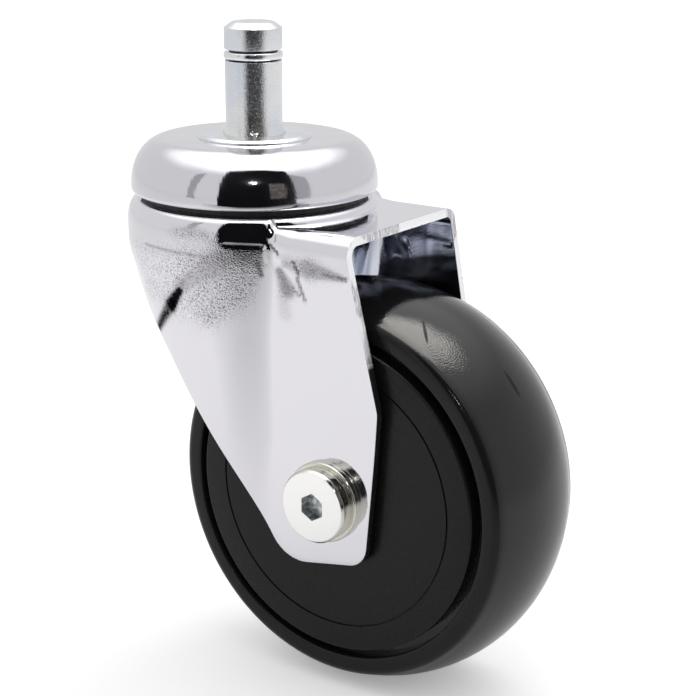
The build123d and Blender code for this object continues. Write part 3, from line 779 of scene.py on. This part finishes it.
# ---------------------------------------------------------------------------------------------
# Wheel core: hub, web with ribs and rim in one moulding of black nylon. The bearings press into
# the hub, and the tyre is moulded onto the rim.
# ---------------------------------------------------------------------------------------------
wheel_plastic, tree, shader = surface("wheel_plastic", (0.0045, 0.0043, 0.0046), 0.3)
shader.inputs["Specular IOR Level"].default_value = 0.24
uneven_gloss(tree, shader, 700, 3, 0.24, 0.36)
relief(tree, shader, grain(tree, 2200, 2), 0.00001)
coated(wheel_plastic, "wheel_core")

# ---------------------------------------------------------------------------------------------
# Wheel bearings: two 8 x 22 x 7 mm ball bearings with ground races, pressed shields and nylon
# cages. A sleeve on the axle holds their inner races apart, and bushes carry them off the legs.
# ---------------------------------------------------------------------------------------------
cage_nylon, tree, shader = surface("cage_nylon", (0.62, 0.56, 0.44), 0.45)
uneven_gloss(tree, shader, 800, 2, 0.38, 0.52)
for side in ("left", "right"):
    coated(bearing_steel, f"bearing_balls_{side}", f"bearing_shields_{side}")
    coated(bearing_steel, f"bearing_inner_race_{side}", f"bearing_outer_race_{side}")
    coated(cage_nylon, f"bearing_cage_{side}")
    coated(zinc_plate, f"leg_bush_{side}")
coated(zinc_plate, "axle_sleeve")

# ---------------------------------------------------------------------------------------------
# Wheel covers: two black discs snapped into the rim, which keep thread and dust off the bearings.
# A fine moulded line runs round each face.
# ---------------------------------------------------------------------------------------------
rim_r = 31.0
cover_hole_r = 7.6
cover_face = 14.6
cover_back = 13.0
cover_lip = 12.1
line_r = 25.8
line_floor = 14.3
cover_outline = rounded(
    [
        (cover_hole_r, cover_back, 0),
        (cover_hole_r, cover_face, 0.25),
        (line_r - 0.2, cover_face, 0),
        (line_r - 0.12, line_floor, 0),
        (line_r + 0.12, line_floor, 0),
        (line_r + 0.2, cover_face, 0),
        (rim_r, cover_face, 0.45),
        (rim_r, cover_lip, 0),
        (29.4, cover_lip, 0),
        (29.0, cover_back, 0),
    ]
)
for side, out in (("left", 1), ("right", -1)):
    outline = [(radius, out * along) for radius, along in cover_outline]
    cover = turned(f"wheel_cover_disc_{side}", outline, about_axle=True, steps=160)
    painted(cover, wheel_plastic)
    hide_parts(f"wheel_cover_{side}")
    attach(cover, "wheel")

# ---------------------------------------------------------------------------------------------
# Tyre: hard black rubber moulded on the rim, its tread polished in the mould and its faces satin.
# A deep groove beside each cover lets the tread give. A patch of rough skin, a nick and a crease
# are left on the tread.
# ---------------------------------------------------------------------------------------------
tread, tree, shader = surface("tread_rubber", (0.007, 0.007, 0.0075), 0.14)
off_middle = combined(tree, "ABSOLUTE", place_along(tree, "Y"), 0)
tree.links.new(spread(tree, off_middle, 0.5, 0.26, 0.0115, 0.0135), shader.inputs["Specular IOR Level"])
uneven_gloss(tree, shader, 420, 3, 0.08, 0.15)
uneven = relief(tree, shader, grain(tree, 60, 1), 0.00022)
grained = relief(tree, shader, grain(tree, 2600, 2), 0.000022, uneven)


def spot(tree, centre, turn, size):
    """A soft ellipsoid, 1 at its centre and 0 from its edge on, in metres and degrees."""
    place = tree.nodes.new("ShaderNodeTexCoord")
    moved = tree.nodes.new("ShaderNodeMapping")
    moved.vector_type = "TEXTURE"
    moved.inputs["Location"].default_value = centre
    moved.inputs["Rotation"].default_value = [math.radians(angle) for angle in turn]
    moved.inputs["Scale"].default_value = size
    ball = tree.nodes.new("ShaderNodeTexGradient")
    ball.gradient_type = "SPHERICAL"
    tree.links.new(place.outputs["Object"], moved.inputs["Vector"])
    tree.links.new(moved.outputs["Vector"], ball.inputs["Vector"])
    return ball.outputs["Fac"]


gritty = spot(tree, (0.0508, -0.0092, -0.0344), (0, 35.3, 0), (0.0068, 0.0040, 0.004))
pimples = combined(tree, "MULTIPLY", grain(tree, 3400, 1), spread(tree, gritty, 0.0, 1.0, 0.0, 0.35))
relief(tree, shader, pimples, 0.00005, grained)
nick = spot(tree, (0.0599, -0.0011, -0.0406), (0, 51.8, 0), (0.0044, 0.0008, 0.003))
crease = spot(tree, (0.0458, -0.0089, -0.0312), (0, 32, -47), (0.0043, 0.0005, 0.003))
# The nick and the crease lose their shine: painted shade in them.
nicked = spread(tree, combined(tree, "MAXIMUM", nick, crease), 0.0, 1.0, 0.25, 0.5)
unlit_nicks = ramp(tree, nicked, [(0.0, (0.85, 0.85, 0.85)), (1.0, (0.0, 0.0, 0.0))])
tree.links.new(unlit_nicks, shader.inputs["Specular Tint"])

wheel_r = 39.8
tread_round = 26.1
tyre_face = 14.1
tyre_round = 2.0
cover_groove_floor = 11.4
cover_groove_r = 32.7
half_tyre = (
    [(rim_r, 0), (rim_r, cover_groove_floor)]
    + rounded(
        [(cover_groove_r, cover_groove_floor, 0), (cover_groove_r, tyre_face, 0.5), (34.6, tyre_face, 0)]
    )[:-1]
    + arc(34.75, tyre_face - tyre_round, tyre_round, tyre_round, 84, 36, 6)
    + [
        (wheel_r - tread_round + math.sqrt(tread_round**2 - along * along), along)
        for along in (12.4, 11.2, 10.0, 8.5, 7.0, 5.5, 4.0, 2.6, 1.3)
    ]
)
tyre_outline = half_tyre + [(wheel_r, 0)] + [(radius, -along) for radius, along in half_tyre[:0:-1]]
tyre = turned("tyre_moulding", tyre_outline, about_axle=True, steps=200, sharp=40)
painted(tyre, tread)
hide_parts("tyre")
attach(tyre, "wheel")

# ---------------------------------------------------------------------------------------------
# Axle: a turned bolt with a low round head and a hexagon socket on a thick spacer, and a lock nut
# on a washer at the far leg. All four are zinc plated, and the socket is painted dark as shade.
# ---------------------------------------------------------------------------------------------
turned_zinc, tree, shader = surface("turned_zinc_plate", (0.80, 0.80, 0.79), 0.16, 1.0)
head_to_nut = spread(tree, place_along(tree, "Y"), 0.0, 1.0, -0.0212, 0.0168)
uneven_gloss(tree, shader, 900, 2, 0.10, 0.24)
# The head's face is painted near white, a painted highlight; the sides are beige grey, and the far end by
# the nut a darker grey.
painted_highlight_face_side_nut = [
    (0.0026, (0.98, 0.98, 0.97)),
    (0.0079, (0.72, 0.71, 0.63)),
    (0.9, (0.72, 0.71, 0.63)),
    (1.0, (0.5, 0.52, 0.54)),
]
tree.links.new(ramp(tree, head_to_nut, painted_highlight_face_side_nut), shader.inputs["Base Color"])
relief(tree, shader, grain(tree, 2400, 2), 0.000012)

# The socket's walls are painted dark, with broaching streaks: painted shade in the recess.
socket_shaded_zinc, tree, shader = surface("socket_shaded_zinc_plate", (0.40, 0.42, 0.42), 0.3, 0.9)
broached = grain(tree, 1500, 2, stretch=(1, 0.2, 1))
broached_shaded_zinc = [(0.38, (0.24, 0.26, 0.26)), (0.64, (0.68, 0.70, 0.70))]
tree.links.new(ramp(tree, broached, broached_shaded_zinc), shader.inputs["Base Color"])


def cut_by_hexagon(piece, operation, across_flats, deep, along, material):
    """The piece cut by, or down to, a hexagonal prism whose middle is at a place along the axle."""
    bpy.ops.object.select_all(action="DESELECT")
    bpy.ops.mesh.primitive_cylinder_add(
        vertices=6,
        radius=across_flats / 2 / math.cos(math.pi / 6) * mm,
        depth=deep * mm,
        location=(axle_x * mm, along * mm, axle_z * mm),
        rotation=(math.pi / 2, 0, 0),
    )
    prism = bpy.context.object
    painted(prism, material)
    bpy.ops.object.transform_apply(location=True, rotation=True, scale=True)
    cut = piece.modifiers.new("hexagon", "BOOLEAN")
    cut.operation = operation
    cut.solver = "EXACT"
    cut.material_mode = "TRANSFER"
    cut.object = prism
    bpy.context.view_layer.objects.active = piece
    bpy.ops.object.modifier_apply(modifier=cut.name)
    bpy.data.objects.remove(prism)


head_face = -21.15
head_seat = -18.1
bolt_head_r = 7.2
bolt_r = 3.97
bolt_end = 25.2
socket_flats = 4.76
socket_deep = 1.9
bolt_outline = (
    rounded(
        [
            (0, head_face, 0),
            (bolt_head_r - 0.45, head_face, 0.15),
            (bolt_head_r, head_face + 0.5, 0.15),
            (bolt_head_r, head_seat, 0.12),
            (bolt_r, head_seat, 0),
        ]
    )
    + [(bolt_r, bolt_end - 0.6), (3.4, bolt_end), (0, bolt_end)]
)
bolt = turned("axle_bolt_turning", bolt_outline, about_axle=True, steps=120)
painted(bolt, turned_zinc)
cut_by_hexagon(bolt, "DIFFERENCE", socket_flats, 2 * socket_deep, head_face, socket_shaded_zinc)
finished(bolt)
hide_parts("axle_bolt")
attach(bolt, "fork")

leg_face = 16.8
hole_r = 4.0
spacer_r = 7.9
spacer_outline = rounded(
    [(hole_r, head_seat, 0), (spacer_r, head_seat, 0.4), (spacer_r, -leg_face, 0.1), (hole_r, -leg_face, 0)]
)
spacer = turned("head_spacer_disc", spacer_outline, about_axle=True, steps=120)
painted(spacer, turned_zinc)
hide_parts("head_spacer")
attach(spacer, "fork")

washer_r = 8.0
nut_seat = 18.4
washer_outline = rounded(
    [(hole_r, leg_face, 0), (washer_r, leg_face, 0.1), (washer_r, nut_seat, 0.25), (hole_r, nut_seat, 0)]
)
nut_washer = turned("nut_washer_disc", washer_outline, about_axle=True, steps=120)
painted(nut_washer, turned_zinc)
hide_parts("nut_washer")
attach(nut_washer, "fork")

nut_flats = 13.0
nut_top = 22.1
collar_r = 5.9
collar_top = 24.0
nut_corner = nut_flats / 2 / math.cos(math.pi / 6)
nut_outline = (
    [(hole_r, nut_seat), (nut_corner, nut_seat), (nut_corner, nut_top - 0.8), (nut_corner - 1.6, nut_top)]
    + [(collar_r, nut_top), (collar_r, collar_top - 0.3), (collar_r - 0.4, collar_top)]
    + [(hole_r, collar_top)]
)
nut = turned("axle_lock_nut", nut_outline, about_axle=True, steps=120)
painted(nut, turned_zinc)
cut_by_hexagon(nut, "INTERSECT", nut_flats, 12.0, 20.0, turned_zinc)
finished(nut, 25)
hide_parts("axle_nut")
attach(nut, "fork")

# ---------------------------------------------------------------------------------------------
# Surroundings: a pale floor, an even white sky and a soft lamp from behind. The rest shows only in
# reflections: a dark card with grey stands, a brown sheet and a small glint in front, a dark mat and
# a sheet of painted shade on the floor, and a lit sheet overhead.
# ---------------------------------------------------------------------------------------------
floor_z = -105.1
camera_turn = math.radians(34.41)
ahead = Vector((math.sin(camera_turn), -math.cos(camera_turn), 0))
aside = Vector((math.cos(camera_turn), math.sin(camera_turn), 0))


def matt_paint(name, colour):
    """A rough paint with no shine at all."""
    material, tree, shader = surface(name, colour, 0.9)
    shader.inputs["Specular IOR Level"].default_value = 0.0
    return material, tree, shader


def glowing_paint(name, colour, strength=1.0):
    """A black paint that gives off a light of its own."""
    material, tree, shader = surface(name, (0.0, 0.0, 0.0), 0.9)
    shader.inputs["Emission Color"].default_value = (*colour, 1)
    shader.inputs["Emission Strength"].default_value = strength
    return material, tree, shader


def card(name, corners, paint):
    """A sheet that only reflections show; its corners are (aside, ahead, height) in metres."""
    bpy.ops.object.select_all(action="DESELECT")
    bpy.ops.mesh.primitive_plane_add(size=1)
    flat = bpy.context.object
    flat.name = name
    for point, (sideways, forward, height) in zip(flat.data.vertices, corners):
        point.co = ahead * forward + aside * sideways + Vector((0, 0, height))
    painted(flat, paint)
    flat.visible_camera = False
    flat.visible_diffuse = False
    flat.visible_shadow = False


def upright_card(name, first, last, forward, low, high, paint):
    """A card that stands in front of the object, from first to last aside."""
    corners = [(sideways, forward, height) for height in (low, high) for sideways in (first, last)]
    card(name, corners, paint)


def level_card(name, height, places, paint):
    """A card that lies level, its height in millimetres over the floor and its places in metres."""
    card(name, [(*place, (floor_z + height) * mm) for place in places], paint)


def reach(tree, place, way):
    """How far a place lies along a direction."""
    node = tree.nodes.new("ShaderNodeVectorMath")
    node.operation = "DOT_PRODUCT"
    node.inputs[1].default_value = way
    tree.links.new(place, node.inputs[0])
    return node.outputs["Value"]


floor_paint, tree, shader = matt_paint("floor_paint", (0.86, 0.86, 0.87))
rays = tree.nodes.new("ShaderNodeLightPath")
lift = combined(tree, "MULTIPLY", rays.outputs["Is Camera Ray"], 0.25)
shader.inputs["Emission Color"].default_value = (1, 1, 1, 1)
tree.links.new(lift, shader.inputs["Emission Strength"])
place = tree.nodes.new("ShaderNodeTexCoord")
away = tree.nodes.new("ShaderNodeVectorMath")
away.operation = "LENGTH"
tree.links.new(place.outputs["Object"], away.inputs[0])
# In reflections the floor turns greyer from 0.3 m out: painted shade where the light falls off.
far = spread(tree, away.outputs["Value"], 0.0, 1.0, 0.30, 0.42)
far = combined(tree, "MULTIPLY", far, rays.outputs["Is Glossy Ray"])
far_greyer = ramp(tree, far, [(0.0, (0.86, 0.86, 0.87)), (1.0, (0.74, 0.74, 0.75))])
tree.links.new(far_greyer, shader.inputs["Base Color"])
bpy.ops.object.select_all(action="DESELECT")
bpy.ops.mesh.primitive_plane_add(size=6, location=(0, 0, floor_z * mm))
floor = bpy.context.object
floor.name = "floor"
bpy.ops.object.transform_apply(location=True, rotation=True, scale=True)
painted(floor, floor_paint)

dark_paint = matt_paint("dark_card_paint", (0.005, 0.005, 0.006))[0]
upright_card("dark_card", -0.46, 0.70, 0.8, -0.105, 1.30, dark_paint)
level_card("dark_mat", 0.6, ((-0.19, 0.335), (0.285, 0.335), (-0.46, 0.8), (0.70, 0.8)), dark_paint)

grey_paint, tree, shader = glowing_paint("grey_card_paint", (0.42, 0.42, 0.43))
shader.inputs["Specular IOR Level"].default_value = 0.0
upright_card("left_stand", -1.42, -1.05, 0.8, -0.105, 1.15, grey_paint)
upright_card("right_stand", 0.705, 1.12, 0.81, -0.105, 0.95, grey_paint)

glint_paint = glowing_paint("glint_paint", (1, 1, 1), 220.0)[0]
upright_card("glint", 0.028, 0.052, 0.79, 0.43, 0.455, glint_paint)

brown_paint, tree, shader = glowing_paint("brown_card_paint", (0.13, 0.115, 0.11))
patchy = ramp(tree, grain(tree, 26, 3), [(0.42, (0.015, 0.014, 0.014)), (0.60, (0.21, 0.18, 0.17))])
tree.links.new(patchy, shader.inputs["Emission Color"])
upright_card("brown_card", 0.22, 0.48, 0.79, -0.03, 0.42, brown_paint)

# The soft shade deepens away from the object and fades out to both sides.
shade_paint, tree, shader = matt_paint("shade_card_paint", (0.005, 0.005, 0.006))
place = tree.nodes.new("ShaderNodeTexCoord")
forward = reach(tree, place.outputs["Object"], ahead)
sideways = reach(tree, place.outputs["Object"], aside)
slant = combined(tree, "DIVIDE", sideways, forward)
to_left = spread(tree, slant, 0.0, 1.0, -1.1, -0.15)
to_right = spread(tree, slant, 1.0, 0.0, 0.75, 1.2)
deepening = ramp(
    tree, forward, [(0.05, (0.0,) * 3), (0.10, (0.25,) * 3), (0.20, (0.42,) * 3), (0.33, (0.8,) * 3)]
)
veil = combined(tree, "MULTIPLY", combined(tree, "MULTIPLY", to_left, to_right), deepening)
tree.links.new(veil, shader.inputs["Alpha"])
level_card("soft_shade", 0.4, ((-0.06, 0.05), (0.06, 0.05), (-0.5, 0.4), (0.5, 0.4)), shade_paint)

overhead_paint = glowing_paint("overhead_paint", (1, 0.98, 0.93), 8.0)[0]
overhead_places = ((-0.09, 0.13), (0.53, 0.13), (-0.09, -0.29), (0.53, -0.29))
level_card("overhead_sheet", 965, overhead_places, overhead_paint)

key = bpy.data.lights.new("key_lamp", "AREA")
key.shape = "RECTANGLE"
key.size = 0.55
key.size_y = 0.7
key.energy = 2.6
key.color = (1.0, 0.95, 0.88)
lamp = bpy.data.objects.new("key_lamp", key)
lamp_turn = camera_turn + math.radians(135)
lamp_out = 0.57
lamp_up = 0.82
lamp_far = 1.05
lamp_way = Vector((math.sin(lamp_turn) * lamp_out, -math.cos(lamp_turn) * lamp_out, lamp_up))
lamp.location = lamp_way * lamp_far
lamp.rotation_mode = "QUATERNION"
lamp.rotation_quaternion = lamp_way.to_track_quat("Z", "Y")
lamp.visible_glossy = False
bpy.context.scene.collection.objects.link(lamp)


def mixed(tree, share, first, second):
    """Two skies in one: the first where the share is 0 and the second where it is 1."""
    node = tree.nodes.new("ShaderNodeMixShader")
    tree.links.new(share, node.inputs["Fac"])
    tree.links.new(first, node.inputs[1])
    tree.links.new(second, node.inputs[2])
    return node.outputs["Shader"]


# The sky is plain white, but plated faces mirror one that grows brighter overhead.
sky = bpy.data.worlds.new("studio")
bpy.context.scene.world = sky
sky.use_nodes = True
tree = sky.node_tree
tree.nodes.clear()
rays = tree.nodes.new("ShaderNodeLightPath")
way = tree.nodes.new("ShaderNodeTexCoord")
sky_tilt = math.radians(7)
zenith = -math.sin(sky_tilt) * ahead + Vector((0, 0, math.cos(sky_tilt)))
ceiling = spread(tree, reach(tree, way.outputs["Generated"], zenith), 0.78, 1.7, 0.56, 0.88)
ceiling.node.interpolation_type = "SMOOTHSTEP"
plain_sky = tree.nodes.new("ShaderNodeBackground")
plain_sky.inputs["Color"].default_value = (1, 1, 1, 1)
plain_sky.inputs["Strength"].default_value = 1.0
mirrored_sky = tree.nodes.new("ShaderNodeBackground")
mirrored_sky.inputs["Color"].default_value = (0.99, 0.99, 1.0, 1)
tree.links.new(ceiling, mirrored_sky.inputs["Strength"])
unseen_sky = mixed(tree, rays.outputs["Is Glossy Ray"], plain_sky.outputs[0], mirrored_sky.outputs[0])
whole_sky = mixed(tree, rays.outputs["Is Camera Ray"], unseen_sky, plain_sky.outputs[0])
tree.links.new(whole_sky, tree.nodes.new("ShaderNodeOutputWorld").inputs["Surface"])

view_pixels = 696
focal_pixels = 1786.56
middle_across = 365.25
middle_down = 359.45
sensor_wide = 36
camera_data = bpy.data.cameras.new("camera")
camera_data.sensor_width = sensor_wide
camera_data.lens = focal_pixels / view_pixels * sensor_wide
camera_data.shift_x = -(middle_across - view_pixels / 2) / view_pixels
camera_data.shift_y = (middle_down - view_pixels / 2) / view_pixels
camera_data.clip_start = 0.01
camera_rise = math.radians(16.56)
camera_roll = math.radians(0.23)
camera_far = 346.81
back = Vector(
    (
        math.sin(camera_turn) * math.cos(camera_rise),
        -math.cos(camera_turn) * math.cos(camera_rise),
        math.sin(camera_rise),
    )
)
upwards = back.cross(aside)
rolled_aside = math.cos(camera_roll) * aside + math.sin(camera_roll) * upwards
rolled_upwards = math.cos(camera_roll) * upwards - math.sin(camera_roll) * aside
camera_place = Matrix((rolled_aside, rolled_upwards, back)).transposed().to_4x4()
camera_place.translation = Vector((26.48, 0, -41.85)) * mm + back * camera_far * mm
camera = bpy.data.objects.new("camera", camera_data)
camera.matrix_world = camera_place
bpy.context.scene.collection.objects.link(camera)
bpy.context.scene.camera = camera
bpy.context.scene.view_settings.view_transform = "Standard"
